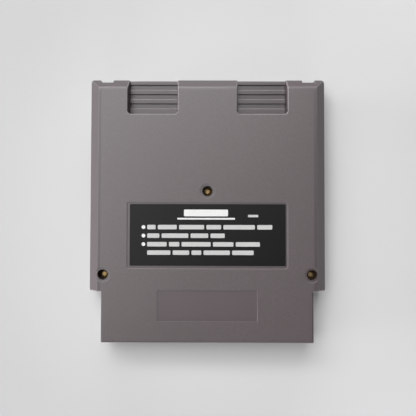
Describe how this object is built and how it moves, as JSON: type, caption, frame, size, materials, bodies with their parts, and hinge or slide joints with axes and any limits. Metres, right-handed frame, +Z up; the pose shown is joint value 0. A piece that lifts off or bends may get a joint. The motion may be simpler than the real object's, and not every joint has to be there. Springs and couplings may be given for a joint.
{
  "type": "game cartridge",
  "caption": "Two-shell game cartridge with a bevelled wide body, finger grip recesses, a narrow neck and an open mouth that holds a circuit board with edge contacts.",
  "frame": {"origin": "middle of the outline, on the surface that the cartridge lies on", "axes": "+X across the cartridge, +Y from the connector mouth to the grip end, +Z up, out of the back face"},
  "size_m": [0.12, 0.1334, 0.017],
  "materials": {
    "shell_plastic": "grey-brown moulded plastic, finely textured faces, smooth bevels",
    "screw_brass": "yellow-plated steel screw, dull",
    "label_film": "satin black printed film",
    "board_laminate": "green lacquered glass laminate",
    "contact_gold": "gold plating",
    "chip_plastic": "black moulded epoxy",
    "tinned_metal": "tinned, slightly dull",
    "can_sleeve": "shrunk blue sleeve",
    "bung_rubber": "black rubber",
    "capacitor_ceramic": "dipped orange-brown coat",
    "resistor_body": "beige lacquer"
  },
  "bodies": {
    "root": {"back_shell": "shell_plastic", "front_shell": "shell_plastic", "case_screws": "screw_brass", "back_label": "label_film", "circuit_board": "board_laminate", "back_contacts": "contact_gold", "front_contacts": "contact_gold", "program_rom": "chip_plastic", "program_rom_legs": "tinned_metal", "graphics_rom": "chip_plastic", "graphics_rom_legs": "tinned_metal", "lockout_chip": "chip_plastic", "lockout_chip_legs": "tinned_metal", "bank_switch_chip": "chip_plastic", "bank_switch_chip_legs": "tinned_metal", "electrolytic_can": "can_sleeve", "electrolytic_bung": "bung_rubber", "electrolytic_wires": "tinned_metal", "ceramic_capacitors": "capacitor_ceramic", "ceramic_capacitor_wires": "tinned_metal", "resistors": "resistor_body", "resistor_wires": "tinned_metal", "solder_joints": "tinned_metal"}
  },
  "joints": []
}
